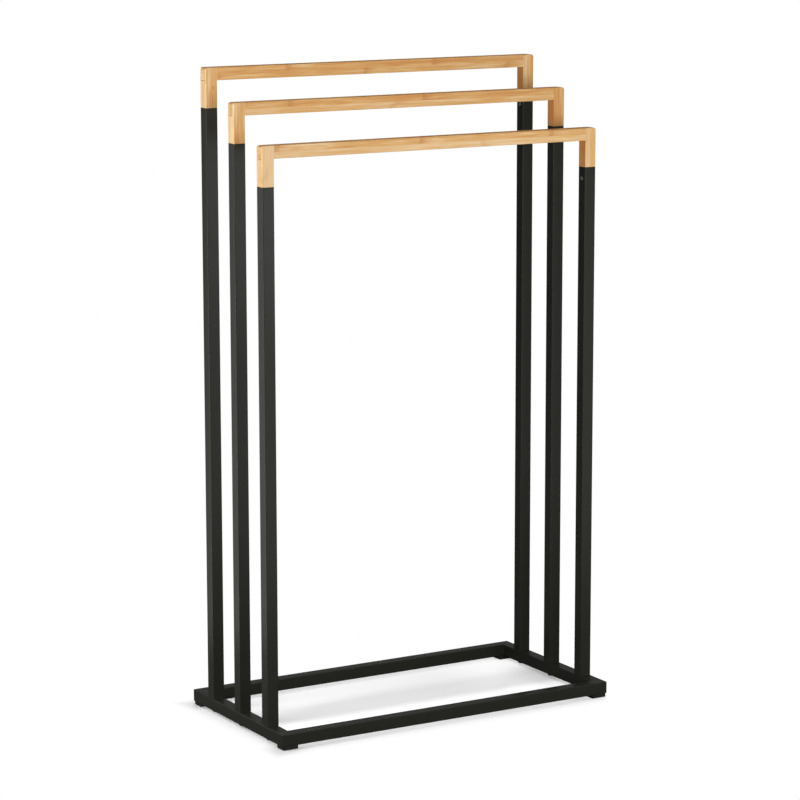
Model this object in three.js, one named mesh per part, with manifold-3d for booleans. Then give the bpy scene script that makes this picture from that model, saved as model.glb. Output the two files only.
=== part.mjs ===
// Free-standing towel rack: three stepped hanging frames on one low base frame.
// Each frame is two square steel posts that carry a bamboo arch, an upright on each post
// and a rail between them, bridled together at the corners.
// Millimetres, +Z up, front towards -Y. The origin is on the floor under the middle of the base.

import * as THREE from "three";
import { mergeVertices } from "three/addons/utils/BufferGeometryUtils.js";
import Module from "manifold-3d";

const wasm = await Module();
wasm.setup();

// ---------------------------------------------------------------- driving dimensions (mm)

// overall layout
const RACK_WIDTH = 460;        // over the outer faces of the posts and the base
const BASE_DEPTH = 233;        // front to back over the base frame
const FRONT_OVERHANG = 37;     // base front to the front face of the front posts
const POST_PITCH = 70.5;       // from one frame to the next
const FRONT_HEIGHT = 709;      // floor to the top of the front rail
const MIDDLE_HEIGHT = 753.5;   // floor to the top of the middle rail
const BACK_HEIGHT = 790;       // floor to the top of the back rail

// square steel tube of the base and the posts
const TUBE = 15;               // outside width
const TUBE_WALL = 1.2;
const TUBE_RADIUS = 1;         // outside corner
const TUBE_INNER_RADIUS = 0.6;
const MITRE_GAP = 0.1;         // between the two tubes of a mitred corner
const BASE_CORNER_RADIUS = 1;  // plan rounding of the base's four outer corners

// bamboo arch
const RAIL_HEIGHT = 15.4;
const UPRIGHT_LENGTH = 48;     // visible length, from the post to the top of the rail
const ARCH_CORNER_RADIUS = 3.2;
const EASED_EDGE = 0.9;        // rounding of the long bamboo edges
const FOOT_CHAMFER = 0.7;      // at the upright's lower edge, above the post
const TENON_THICKNESS = 7;
const GLUE_GAP = 0.1;          // all round a tenon
const SPIGOT_LENGTH = 40;      // the part of an upright that sits inside its post
const SPIGOT_CLEARANCE = 0.2;
const SPIGOT_RADIUS = 1.8;     // outside corner
const SPIGOT_CHAMFER = 1.2;    // lead-in at the lower end

// screw that holds a spigot in its post
const SPIGOT_SCREW_DROP = 14;  // below the joint of bamboo and steel
const SPIGOT_SCREW_DIAMETER = 3;
const SPIGOT_SCREW_LENGTH = 10;
const SPIGOT_SCREW_HEAD = 6.4;
const SPIGOT_SCREW_HEAD_HEIGHT = 1.9;

// bolt, washer and threaded insert under each post
const BOLT_DIAMETER = 6;
const BOLT_HEAD = 10;
const BOLT_HEAD_HEIGHT = 2.7;
const BOLT_SOCKET = 4;         // across the flats
const BOLT_SOCKET_DEPTH = 2.2;
const BOLT_GRIP = 10;          // length inside the threaded insert
const WASHER_DIAMETER = 11.6;
const WASHER_THICKNESS = 0.5;
const INSERT_LENGTH = 12;
const INSERT_CLEARANCE = 0.15;

// feet and their screws
const FOOT_HEIGHT = 4.4;
const FOOT_LENGTH = 20;        // along the front or back rail
const FOOT_WIDTH = 16.5;
const FOOT_SIDE_INSET = 1.4;   // from the outer face of the side rail
const FOOT_END_INSET = 0.3;    // from the front or back face of the base
const FOOT_CORNER_RADIUS = 1.2;
const FOOT_EDGE = 0.5;
const FOOT_SCREW_INSET = 15;   // from the side of the base, clear of the mitre
const FOOT_SCREW_DIAMETER = 2.8;
const FOOT_SCREW_LENGTH = 8;
const FOOT_SCREW_HEAD = 5.6;
const FOOT_SCREW_HEAD_HEIGHT = 1.6;
const FOOT_SCREW_RECESS = 2.2; // depth of the head's pocket in the foot

// play between a fastener and the hole it passes through
const HOLE_PLAY = 0.3;

// ---------------------------------------------------------------- derived places

const halfWidth = RACK_WIDTH / 2;
const halfDepth = BASE_DEPTH / 2;
const baseTop = FOOT_HEIGHT + TUBE;
const postX = halfWidth - TUBE / 2;
const firstPostY = -halfDepth + FRONT_OVERHANG + TUBE / 2;

const frames = [
  { name: "front", y: firstPostY, top: FRONT_HEIGHT },
  { name: "middle", y: firstPostY + POST_PITCH, top: MIDDLE_HEIGHT },
  { name: "back", y: firstPostY + 2 * POST_PITCH, top: BACK_HEIGHT },
];
const sides = [
  { name: "left", sign: -1 },
  { name: "right", sign: 1 },
];
const ends = [
  { name: "front", sign: -1 },
  { name: "back", sign: 1 },
];

// ---------------------------------------------------------------- materials

const blackSteel = { color: 0x2e2e2a, roughness: 0.55, metalness: 0.0 };
const bamboo = { color: 0xd8a870, roughness: 0.6, metalness: 0.0 };
const zincSteel = { color: 0xb9bcc0, roughness: 0.35, metalness: 0.9 };
const blackZinc = { color: 0x1d1d1f, roughness: 0.45, metalness: 0.6 };
const blackRubber = { color: 0x161616, roughness: 0.85, metalness: 0.0 };

// ---------------------------------------------------------------- solids and booleans

function toSolid(geometry) {
  const bare = geometry.index ? geometry.toNonIndexed() : geometry.clone();
  bare.deleteAttribute("normal");
  bare.deleteAttribute("uv");
  const merged = mergeVertices(bare, 1e-4);
  return new wasm.Manifold(new wasm.Mesh({
    numProp: 3,
    vertProperties: new Float32Array(merged.attributes.position.array),
    triVerts: new Uint32Array(merged.index.array),
  }));
}

function toGeometry(solid) {
  const mesh = solid.getMesh();
  const geometry = new THREE.BufferGeometry();
  geometry.setAttribute("position", new THREE.BufferAttribute(new Float32Array(mesh.vertProperties), 3));
  geometry.setIndex(new THREE.BufferAttribute(new Uint32Array(mesh.triVerts), 1));
  geometry.computeVertexNormals();
  return geometry;
}

function cutAway(geometry, tools) {
  return toGeometry(tools.reduce((solid, tool) => solid.subtract(toSolid(tool)), toSolid(geometry)));
}

function joinTogether(geometries) {
  return toGeometry(geometries.map(toSolid).reduce((solid, other) => solid.add(other)));
}

function keepInside(geometry, envelope) {
  return toGeometry(toSolid(geometry).intersect(toSolid(envelope)));
}

// ---------------------------------------------------------------- basic forms

function boxBetween(low, high) {
  const size = high.map((value, i) => value - low[i]);
  const box = new THREE.BoxGeometry(size[0], size[1], size[2]);
  return box.translate(low[0] + size[0] / 2, low[1] + size[1] / 2, low[2] + size[2] / 2);
}

// A rod of the given radius along +Z, its lower end at z = 0.
function rod(radius, length, sections = 12) {
  return new THREE.CylinderGeometry(radius, radius, length, sections)
    .rotateX(Math.PI / 2)
    .translate(0, 0, length / 2);
}

function roundedRectangle(path, width, height, radius) {
  const x = width / 2;
  const y = height / 2;
  path.moveTo(-x + radius, -y);
  path.lineTo(x - radius, -y);
  path.absarc(x - radius, -y + radius, radius, -Math.PI / 2, 0, false);
  path.lineTo(x, y - radius);
  path.absarc(x - radius, y - radius, radius, 0, Math.PI / 2, false);
  path.lineTo(-x + radius, y);
  path.absarc(-x + radius, y - radius, radius, Math.PI / 2, Math.PI, false);
  path.lineTo(-x, -y + radius);
  path.absarc(-x + radius, -y + radius, radius, Math.PI, 1.5 * Math.PI, false);
  return path;
}

// Square tube along +Z, centred on the axis, its lower end at z = 0.
function squareTube(length) {
  const section = roundedRectangle(new THREE.Shape(), TUBE, TUBE, TUBE_RADIUS);
  const bore = TUBE - 2 * TUBE_WALL;
  section.holes.push(roundedRectangle(new THREE.Path(), bore, bore, TUBE_INNER_RADIUS));
  return new THREE.ExtrudeGeometry(section, { depth: length, bevelEnabled: false, curveSegments: 3 });
}

// Square block along +Z with its corners rounded and both ends chamfered, its lower end at z = 0.
function chamferedBlock(width, depth, length, radius, chamfer) {
  const section = roundedRectangle(new THREE.Shape(), width, depth, radius);
  return new THREE.ExtrudeGeometry(section, {
    depth: length - 2 * chamfer,
    bevelThickness: chamfer,
    bevelSize: chamfer,
    bevelOffset: -chamfer,
    bevelSegments: 1,
    curveSegments: 2,
  }).translate(0, 0, chamfer);
}

// Solid of revolution about +Z from [radius, z] points.
function turned(profile, sections = 16) {
  const points = profile.map(([radius, z]) => new THREE.Vector2(radius, z));
  return new THREE.LatheGeometry(points, sections).rotateX(Math.PI / 2);
}

// ---------------------------------------------------------------- base frame

// Prism over the plan of one mitred tube that runs along X between the two 45 degree cuts.
function mitrePlan(length) {
  const shift = MITRE_GAP / Math.SQRT2;
  const outer = length / 2 - shift;
  const inner = outer - TUBE;
  const plan = new THREE.Shape([
    new THREE.Vector2(-outer, -TUBE / 2),
    new THREE.Vector2(outer, -TUBE / 2),
    new THREE.Vector2(inner, TUBE / 2),
    new THREE.Vector2(-inner, TUBE / 2),
  ]);
  return new THREE.ExtrudeGeometry(plan, { depth: 3 * TUBE, bevelEnabled: false }).translate(0, 0, -TUBE);
}

// Mitred base tube along X, outer side towards -Y, lying from z = 0 to the tube's height.
function mitredTube(length) {
  const tube = squareTube(length).rotateY(Math.PI / 2).translate(-length / 2, 0, TUBE / 2);
  return keepInside(tube, mitrePlan(length));
}

// Prism over the outline of the whole base, with its four corners ground round.
function baseOutline() {
  const plan = roundedRectangle(new THREE.Shape(), RACK_WIDTH, BASE_DEPTH, BASE_CORNER_RADIUS);
  const prism = new THREE.ExtrudeGeometry(plan, { depth: 3 * TUBE, bevelEnabled: false, curveSegments: 4 });
  return prism.translate(0, 0, FOOT_HEIGHT - TUBE);
}

function screwHoleAt(x, y, height) {
  return rod(FOOT_SCREW_DIAMETER / 2 + HOLE_PLAY, height).translate(x, y, -height / 2);
}

// Long rail at the front or the back of the base, with a screw hole over each foot.
function baseLongRail(end) {
  const holes = sides.map(side => screwHoleAt(side.sign * (halfWidth - FOOT_SCREW_INSET), 0, TUBE));
  const rail = cutAway(mitredTube(RACK_WIDTH), holes);
  rail.rotateZ(end.sign < 0 ? 0 : Math.PI).translate(0, end.sign * (halfDepth - TUBE / 2), FOOT_HEIGHT);
  return keepInside(rail, baseOutline());
}

// Side rail of the base, drilled through both walls under each post.
function baseSideRail(side) {
  const rail = mitredTube(BASE_DEPTH)
    .rotateZ(side.sign * Math.PI / 2)
    .translate(side.sign * postX, 0, FOOT_HEIGHT);
  const holes = frames.map(frame =>
    rod(BOLT_DIAMETER / 2 + HOLE_PLAY, 3 * TUBE).translate(side.sign * postX, frame.y, -TUBE));
  return keepInside(cutAway(rail, holes), baseOutline());
}

// ---------------------------------------------------------------- posts

// Top end of a frame's posts, where the bamboo begins.
function jointHeight(frame) {
  return frame.top - UPRIGHT_LENGTH;
}

function post(frame, side) {
  const tube = squareTube(jointHeight(frame) - baseTop).translate(side.sign * postX, frame.y, baseTop);
  const hole = rod(SPIGOT_SCREW_DIAMETER / 2 + HOLE_PLAY, 2 * TUBE_WALL)
    .rotateY(Math.PI / 2)
    .translate(-TUBE_WALL, 0, 0);
  const inward = side.sign * (halfWidth - TUBE + TUBE_WALL / 2);
  return cutAway(tube, [hole.translate(inward, frame.y, jointHeight(frame) - SPIGOT_SCREW_DROP)]);
}

// Threaded insert fixed in the lower end of a post. It takes the bolt.
function postInsert(frame, side) {
  const width = TUBE - 2 * TUBE_WALL - 2 * INSERT_CLEARANCE;
  const block = chamferedBlock(width, width, INSERT_LENGTH, TUBE_INNER_RADIUS, INSERT_CLEARANCE * 2);
  const bore = rod(BOLT_DIAMETER / 2 + HOLE_PLAY, 3 * INSERT_LENGTH).translate(0, 0, -INSERT_LENGTH);
  return cutAway(block, [bore]).translate(side.sign * postX, frame.y, baseTop);
}

// ---------------------------------------------------------------- bolts and washers

function baseWasher(frame, side) {
  const inner = BOLT_DIAMETER / 2 + HOLE_PLAY;
  const outer = WASHER_DIAMETER / 2;
  const top = WASHER_THICKNESS;
  const ring = turned([[inner, 0], [outer, 0], [outer, top], [inner, top], [inner, 0]]);
  return ring.translate(side.sign * postX, frame.y, FOOT_HEIGHT - top);
}

// Button-head bolt, driven upwards through the side rail into the insert.
function baseBolt(frame, side) {
  const shank = BOLT_DIAMETER / 2;
  const head = BOLT_HEAD / 2;
  const length = WASHER_THICKNESS + TUBE + BOLT_GRIP;
  const tipChamfer = 0.8;
  const body = turned([
    [0, -BOLT_HEAD_HEIGHT],
    [head * 0.55, -BOLT_HEAD_HEIGHT],
    [head * 0.85, -BOLT_HEAD_HEIGHT * 0.72],
    [head, -BOLT_HEAD_HEIGHT * 0.25],
    [head, 0],
    [shank, 0],
    [shank, length - tipChamfer],
    [shank - tipChamfer, length],
    [0, length],
  ]);
  const socket = rod(BOLT_SOCKET / Math.sqrt(3), 2 * BOLT_SOCKET_DEPTH, 6)
    .translate(0, 0, -BOLT_HEAD_HEIGHT - BOLT_SOCKET_DEPTH);
  return cutAway(body, [socket]).translate(side.sign * postX, frame.y, FOOT_HEIGHT - WASHER_THICKNESS);
}

// ---------------------------------------------------------------- bamboo arch

// The whole glued arch, before it is divided into its pieces: an inverted U with rounded
// outer corners and every long edge eased.
function archEnvelope(frame) {
  const foot = jointHeight(frame);
  const corner = ARCH_CORNER_RADIUS;
  const inner = halfWidth - TUBE;
  const outline = new THREE.Shape();
  outline.moveTo(-halfWidth + FOOT_CHAMFER, foot);
  outline.lineTo(-inner - FOOT_CHAMFER, foot);
  outline.lineTo(-inner, foot + FOOT_CHAMFER);
  outline.lineTo(-inner, frame.top - RAIL_HEIGHT);
  outline.lineTo(inner, frame.top - RAIL_HEIGHT);
  outline.lineTo(inner, foot + FOOT_CHAMFER);
  outline.lineTo(inner + FOOT_CHAMFER, foot);
  outline.lineTo(halfWidth - FOOT_CHAMFER, foot);
  outline.lineTo(halfWidth, foot + FOOT_CHAMFER);
  outline.lineTo(halfWidth, frame.top - corner);
  outline.absarc(halfWidth - corner, frame.top - corner, corner, 0, Math.PI / 2, false);
  outline.lineTo(-halfWidth + corner, frame.top);
  outline.absarc(-halfWidth + corner, frame.top - corner, corner, Math.PI / 2, Math.PI, false);
  outline.lineTo(-halfWidth, foot + FOOT_CHAMFER);
  return new THREE.ExtrudeGeometry(outline, {
    depth: TUBE - 2 * EASED_EDGE,
    bevelThickness: EASED_EDGE,
    bevelSize: EASED_EDGE,
    bevelOffset: -EASED_EDGE,
    bevelSegments: 2,
    curveSegments: 5,
  }).translate(0, 0, -TUBE / 2 + EASED_EDGE).rotateX(Math.PI / 2).translate(0, frame.y, 0);
}

// Rail with a through tenon on each end. The tenon is as tall as the rail and lies open at the
// top of its upright, so that its end grain shows on the outer side.
function bambooRail(frame) {
  const inner = halfWidth - TUBE - GLUE_GAP;
  const low = frame.top - RAIL_HEIGHT;
  const beam = boxBetween([-inner, frame.y - TUBE, low], [inner, frame.y + TUBE, frame.top + 1]);
  const cheek = TENON_THICKNESS / 2;
  const end = halfWidth + 1;
  const tongue = boxBetween([-end, frame.y - cheek, low], [end, frame.y + cheek, frame.top + 1]);
  return keepInside(joinTogether([beam, tongue]), archEnvelope(frame));
}

// Pilot hole for the spigot screw, drilled outwards from the inner face of the spigot.
function pilotHole(frame, side) {
  const play = TUBE_WALL + SPIGOT_CLEARANCE;
  const depth = SPIGOT_SCREW_LENGTH - play + HOLE_PLAY;
  const hole = rod(SPIGOT_SCREW_DIAMETER / 2 + HOLE_PLAY, 2 * depth)
    .translate(0, 0, -depth)
    .rotateY(Math.PI / 2);
  const face = side.sign * (halfWidth - TUBE + play);
  return hole.translate(face, frame.y, jointHeight(frame) - SPIGOT_SCREW_DROP);
}

// Upright with an open slot for the tenon at its top and a square spigot at its foot.
function bambooUpright(frame, side) {
  const near = side.sign * (halfWidth - TUBE);
  const far = side.sign * (halfWidth + 1);
  const blank = boxBetween(
    [Math.min(near, far), frame.y - TUBE, jointHeight(frame) - 1],
    [Math.max(near, far), frame.y + TUBE, frame.top + 1]);
  const stub = keepInside(blank, archEnvelope(frame));
  const cheek = TENON_THICKNESS / 2 + GLUE_GAP;
  const slot = boxBetween(
    [Math.min(near, far) - 1, frame.y - cheek, frame.top - RAIL_HEIGHT - GLUE_GAP],
    [Math.max(near, far) + 1, frame.y + cheek, frame.top + 2]);
  const width = TUBE - 2 * TUBE_WALL - 2 * SPIGOT_CLEARANCE;
  const length = SPIGOT_LENGTH + 2 * SPIGOT_CHAMFER;
  const spigot = chamferedBlock(width, width, length, SPIGOT_RADIUS, SPIGOT_CHAMFER)
    .translate(side.sign * postX, frame.y, jointHeight(frame) - SPIGOT_LENGTH);
  return cutAway(joinTogether([stub, spigot]), [slot, pilotHole(frame, side)]);
}

// ---------------------------------------------------------------- spigot screws

// Pan-head screw through the inner wall of a post into the bamboo spigot.
function spigotScrew(frame, side) {
  const shank = SPIGOT_SCREW_DIAMETER / 2;
  const head = SPIGOT_SCREW_HEAD / 2;
  const tall = SPIGOT_SCREW_HEAD_HEIGHT;
  const screw = turned([
    [0, -tall],
    [head * 0.5, -tall * 0.95],
    [head * 0.85, -tall * 0.7],
    [head, -tall * 0.3],
    [head, 0],
    [shank, 0],
    [shank, SPIGOT_SCREW_LENGTH - 2 * shank],
    [0, SPIGOT_SCREW_LENGTH],
  ]);
  return screw
    .rotateY(side.sign * Math.PI / 2)
    .translate(side.sign * (halfWidth - TUBE), frame.y, jointHeight(frame) - SPIGOT_SCREW_DROP);
}

// ---------------------------------------------------------------- feet

function footScrewPlace(end, side) {
  return [side.sign * (halfWidth - FOOT_SCREW_INSET), end.sign * (halfDepth - TUBE / 2)];
}

// Rubber pad under a corner, with a pocket that sinks the screw's head.
function foot(end, side) {
  const pad = chamferedBlock(FOOT_LENGTH, FOOT_WIDTH, FOOT_HEIGHT, FOOT_CORNER_RADIUS, FOOT_EDGE).translate(
    side.sign * (halfWidth - FOOT_SIDE_INSET - FOOT_LENGTH / 2),
    end.sign * (halfDepth - FOOT_END_INSET - FOOT_WIDTH / 2),
    0);
  const [x, y] = footScrewPlace(end, side);
  const pocket = rod(FOOT_SCREW_HEAD / 2 + HOLE_PLAY, 2 * FOOT_SCREW_RECESS)
    .translate(x, y, -FOOT_SCREW_RECESS);
  const hole = rod(FOOT_SCREW_DIAMETER / 2 + HOLE_PLAY, 3 * FOOT_HEIGHT).translate(x, y, -FOOT_HEIGHT);
  return cutAway(pad, [pocket, hole]);
}

function footScrew(end, side) {
  const shank = FOOT_SCREW_DIAMETER / 2;
  const head = FOOT_SCREW_HEAD / 2;
  const tall = FOOT_SCREW_HEAD_HEIGHT;
  const [x, y] = footScrewPlace(end, side);
  const screw = turned([
    [0, -tall],
    [head * 0.6, -tall * 0.9],
    [head, -tall * 0.35],
    [head, 0],
    [shank, 0],
    [shank, FOOT_SCREW_LENGTH - 2 * shank],
    [0, FOOT_SCREW_LENGTH],
  ]);
  return screw.translate(x, y, FOOT_SCREW_RECESS);
}

// ---------------------------------------------------------------- assembly

const rack = new THREE.Group();

function add(name, geometry, finish) {
  const mesh = new THREE.Mesh(geometry, new THREE.MeshStandardMaterial(finish));
  mesh.name = name;
  rack.add(mesh);
}

for (const side of sides) {
  add(`base_side_rail_${side.name}`, baseSideRail(side), blackSteel);
}
for (const end of ends) {
  add(`base_${end.name}_rail`, baseLongRail(end), blackSteel);
  for (const side of sides) {
    add(`foot_${end.name}_${side.name}`, foot(end, side), blackRubber);
    add(`foot_screw_${end.name}_${side.name}`, footScrew(end, side), zincSteel);
  }
}
for (const frame of frames) {
  add(`bamboo_rail_${frame.name}`, bambooRail(frame), bamboo);
  for (const side of sides) {
    const place = `${frame.name}_${side.name}`;
    add(`post_${place}`, post(frame, side), blackSteel);
    add(`post_insert_${place}`, postInsert(frame, side), zincSteel);
    add(`base_bolt_${place}`, baseBolt(frame, side), blackZinc);
    add(`base_washer_${place}`, baseWasher(frame, side), blackZinc);
    add(`bamboo_upright_${place}`, bambooUpright(frame, side), bamboo);
    add(`spigot_screw_${place}`, spigotScrew(frame, side), blackZinc);
  }
}

export default rack;
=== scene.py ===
"""A free-standing towel rack: three stepped bamboo arches on square steel posts.

Metres, +Z up, front towards -Y. The origin is on the floor under the middle of the base.
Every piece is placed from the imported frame, and finished with its own procedural material.
"""

import math
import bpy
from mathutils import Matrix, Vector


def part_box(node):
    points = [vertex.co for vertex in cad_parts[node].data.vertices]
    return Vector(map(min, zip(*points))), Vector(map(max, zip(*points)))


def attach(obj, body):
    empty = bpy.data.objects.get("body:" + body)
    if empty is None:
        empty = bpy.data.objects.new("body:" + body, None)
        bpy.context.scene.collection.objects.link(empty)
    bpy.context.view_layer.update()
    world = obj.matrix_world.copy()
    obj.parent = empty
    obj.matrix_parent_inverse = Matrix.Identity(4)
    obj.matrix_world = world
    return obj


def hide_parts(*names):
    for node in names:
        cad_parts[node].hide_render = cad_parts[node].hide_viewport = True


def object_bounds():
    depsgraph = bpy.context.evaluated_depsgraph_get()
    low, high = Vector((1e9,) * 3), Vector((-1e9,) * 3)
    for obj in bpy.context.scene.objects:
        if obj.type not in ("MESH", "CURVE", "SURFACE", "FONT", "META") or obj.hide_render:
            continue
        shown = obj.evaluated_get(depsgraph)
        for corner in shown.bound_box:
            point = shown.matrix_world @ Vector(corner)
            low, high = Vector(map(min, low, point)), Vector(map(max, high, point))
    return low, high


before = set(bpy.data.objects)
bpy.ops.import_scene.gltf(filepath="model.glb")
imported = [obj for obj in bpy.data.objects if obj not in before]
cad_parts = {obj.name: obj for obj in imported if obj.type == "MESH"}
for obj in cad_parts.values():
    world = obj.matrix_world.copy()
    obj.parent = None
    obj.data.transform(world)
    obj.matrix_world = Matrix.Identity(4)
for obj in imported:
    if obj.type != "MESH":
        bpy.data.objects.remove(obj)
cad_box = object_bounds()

from types import SimpleNamespace

import bmesh
import bpy
from mathutils import Vector

bl_info = {
    "name": "Towel Rack",
    "version": (1, 0, 0),
    "blender": (4, 5, 0),
    "location": "View3D > Sidebar > Towel Rack",
    "description": "Builds a free-standing towel rack with three bamboo arches",
    "category": "Object",
}

LEVELS = ("front", "middle", "back")
SIDES = ("left", "right")
ENDS = ("front", "back")
POSTS = [(level, side) for level in LEVELS for side in SIDES]
# edges that bend by more can be picked as sharp, and those that bend by less are shaded smooth
SHARP = math.radians(30)
SMOOTH = math.radians(50)
# how far a tool that cuts, or a piece that is joined on, reaches past the surface
CLEAR = 0.001

# heads from their far end to their seat, in shares of their radius and of their height
BUTTON_HEAD = (
    (0.30, 1), (0.56, 0.985), (0.74, 0.88), (0.88, 0.68), (0.965, 0.42), (1, 0.16), (0.985, 0.03),
    (0.96, 0))
PAN_HEAD = ((0.30, 1), (0.62, 0.94), (0.84, 0.74), (0.96, 0.45), (1, 0.2), (0.985, 0.04), (0.95, 0))

# a place that is too far off for its growth node, knot or stain to show
FAR = 9.0
NOWHERE = (FAR, FAR, FAR)


def strip(
        tone, side=None, end=0.5, lean=0.0, contrast=1.0, nodes=(), marks=1.0, slant=0.0,
        knot=NOWHERE, stain=NOWHERE):
    """How one strip of bamboo looks: its tone from 0, pale, to 1, dark, on its front and back,
    on its other long faces and on its ends, how fast that tone grows per metre of grain, how
    lively the grain is, the places of up to three growth nodes along it, how strong and how
    slanted their marks are, and the places of a pin knot and of a reddish stain. The tone on
    the other long faces is painted light and shade where it differs from the front."""
    return {
        "front": (tone, lean, contrast), "end": (end, 0.0, contrast),
        "side": (tone if side is None else side, lean, contrast),
        "nodes": (*nodes, FAR, FAR, FAR)[:3], "marks": (marks, slant), "knot": knot,
        "stain": stain}


# Each bamboo piece is glued up from two strips: the upper and the lower one of a rail, the
# outer and the inner one of an upright. Where a side tone differs from the front one it is
# painted light and shade: painted shade on the rails' tops and undersides, on the right
# uprights' side faces (most on their inner faces) and a little on the front left upright's
# outer face, and painted light on the outer faces of the middle and back left uprights.
STRIPS = {
    "rail_front": (
        strip(0.57, side=1.1, nodes=(-0.2125, -0.018, 0.165), slant=0.2,
              stain=(-0.1880, -0.0795, 0.7035)),
        strip(0.20, side=0.6, contrast=0.5, nodes=(0.065,), marks=0.5, slant=-0.8)),
    "rail_middle": (
        strip(0.72, side=1.2, nodes=(-0.155, 0.029)),
        strip(0.40, side=0.7, lean=0.8, contrast=0.7, nodes=(-0.007,), marks=0.6, slant=1.8)),
    "rail_back": (
        strip(0.72, side=1.2, end=0.0, nodes=(-0.120, 0.085), slant=0.1),
        strip(0.60, side=0.8, end=0.0, lean=-1.1, nodes=(-0.010, 0.193), marks=0.9, slant=0.5,
              knot=(-0.2122, 0.0615, 0.7780))),
    "upright_front_left": (
        strip(0.10, side=0.16, contrast=0.35, nodes=(0.676,), marks=0.3, slant=0.9),
        strip(0.06, contrast=0.25)),
    "upright_front_right": (
        strip(0.42, side=0.5, contrast=0.7),
        strip(0.28, side=1.4, contrast=0.6)),
    "upright_middle_left": (
        strip(0.46, side=-0.1, lean=-9.0, stain=(-0.2243, -0.0090, 0.7100)),
        strip(0.44, lean=-4.0)),
    "upright_middle_right": (
        strip(0.72, side=0.9, lean=-3.0, nodes=(0.683,), marks=0.5),
        strip(1.10, side=1.5)),
    "upright_back_left": (
        strip(0.52, side=-0.05, lean=-6.0, stain=(-0.2250, 0.0615, 0.7520)),
        strip(0.60, lean=-3.0, knot=(-0.2205, 0.0615, 0.7660))),
    "upright_back_right": (
        strip(0.64, side=0.7),
        strip(0.02, side=1.3)),
}


# -------- settings

def length(name, description, default):
    return bpy.props.FloatProperty(
        name=name, description=description, default=default, min=0.0, unit="LENGTH", precision=5)


def colour(name, description, default):
    return bpy.props.FloatVectorProperty(
        name=name, description=description, default=default, min=0.0, max=1.0, subtype="COLOR")


class RackSizes(bpy.types.PropertyGroup):
    """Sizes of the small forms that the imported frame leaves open."""

    tube_wall: length("Tube wall", "Thickness of the steel", 0.0012)
    tube_corner: length("Tube corner", "Outside rounding of the square tube", 0.0010)
    post_rim: length("Post rim", "Rounding of a post's ends", 0.0002)
    seam: length("Seam", "Width of the line between two mitred tubes", 0.0001)
    eased_edge: length("Eased edge", "Rounding of the long bamboo edges", 0.0009)
    rim_edge: length("Rim edge", "Rounding of an upright's lower rim", 0.0007)
    arch_corner: length("Arch corner", "Rounding of an arch's two outer corners", 0.0032)
    tenon: length("Tenon", "Thickness of the through tenon", 0.007)
    glue_gap: length("Glue gap", "Gap round a tenon", 0.00006)
    seat_gap: length("Seat gap", "Gap under a tenon", 0.00060)
    spigot: length("Spigot", "Width of the spigot inside a post", 0.0122)
    spigot_corner: length("Spigot corner", "Rounding of the spigot's long edges", 0.0018)
    spigot_chamfer: length("Spigot chamfer", "Chamfer at the spigot's end", 0.0012)
    spigot_shank: length("Spigot screw", "Radius of the screw through a spigot", 0.0015)
    spigot_hole: length("Spigot hole", "Depth of the screw's hole in the bamboo", 0.0095)
    foot_corner: length("Foot corner", "Rounding of a foot's upright edges", 0.0012)
    foot_edge: length("Foot edge", "Rounding of a foot's rims", 0.0005)
    foot_seat: length("Foot seat", "Height of the screw's seat in a foot", 0.0022)
    foot_shank: length("Foot screw", "Radius of a foot's screw", 0.0014)
    bolt_shank: length("Bolt", "Radius of a bolt's shank", 0.003)
    bolt_tip: length("Bolt tip", "Chamfer at a bolt's tip", 0.0008)
    socket: length("Socket", "Width across the flats of a bolt's socket", 0.004)
    socket_depth: length("Socket depth", "Depth of a bolt's socket", 0.0022)
    washer_edge: length("Washer edge", "Rounding of a washer's edges", 0.00015)
    hole_play: length("Hole play", "Room between a fastener and its hole", 0.0003)


class RackFinishes(bpy.types.PropertyGroup):
    """Colours of the rack's materials and of the floor under it."""

    coat: colour("Powder coat", "Main colour of the steel", (0.0146, 0.0156, 0.0112))
    coat_dust: colour("Powder coat dust", "Lighter flecks in the coat", (0.0180, 0.0192, 0.0142))
    bamboo_pale: colour("Pale bamboo", "Lightest grain", (0.724, 0.517, 0.297))
    bamboo_mid: colour("Bamboo", "Main colour of the bamboo", (0.636, 0.376, 0.146))
    bamboo_dark: colour("Dark bamboo", "Fibre-rich streaks", (0.562, 0.286, 0.098))
    bamboo_node: colour("Bamboo node", "Marks across a growth node", (0.450, 0.170, 0.050))
    bamboo_stain: colour("Bamboo stain", "Reddish streaks", (0.570, 0.250, 0.078))
    rubber: colour("Rubber", "Feet", (0.0095, 0.0095, 0.0095))
    zinc: colour("Zinc", "Bright plated steel", (0.60, 0.62, 0.64))
    black_zinc: colour("Black zinc", "Black plated steel", (0.018, 0.018, 0.020))
    smoked_zinc: colour("Smoked zinc", "Dark grey plated steel", (0.15, 0.15, 0.145))
    floor: colour("Floor", "Floor under the rack", (0.92, 0.92, 0.92))


# -------- modelling by hand

def select_only(piece):
    bpy.ops.object.select_all(action="DESELECT")
    piece.select_set(True)
    bpy.context.view_layer.objects.active = piece


def settle(piece):
    """Puts the piece's place, turn and scale into its mesh."""
    select_only(piece)
    bpy.ops.object.transform_apply(location=True, rotation=True, scale=True)


def block(low, high):
    """A plain block between two corners, ready to be shaped."""
    bpy.ops.object.select_all(action="DESELECT")
    bpy.ops.mesh.primitive_cube_add(size=1, location=[(a + b) / 2 for a, b in zip(low, high)])
    piece = bpy.context.active_object
    piece.scale = [b - a for a, b in zip(low, high)]
    settle(piece)
    return piece


def edit_all(piece):
    """Goes to edit mode with the whole piece selected."""
    select_only(piece)
    bpy.ops.object.mode_set(mode="EDIT")
    bpy.ops.mesh.select_all(action="SELECT")


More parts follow.
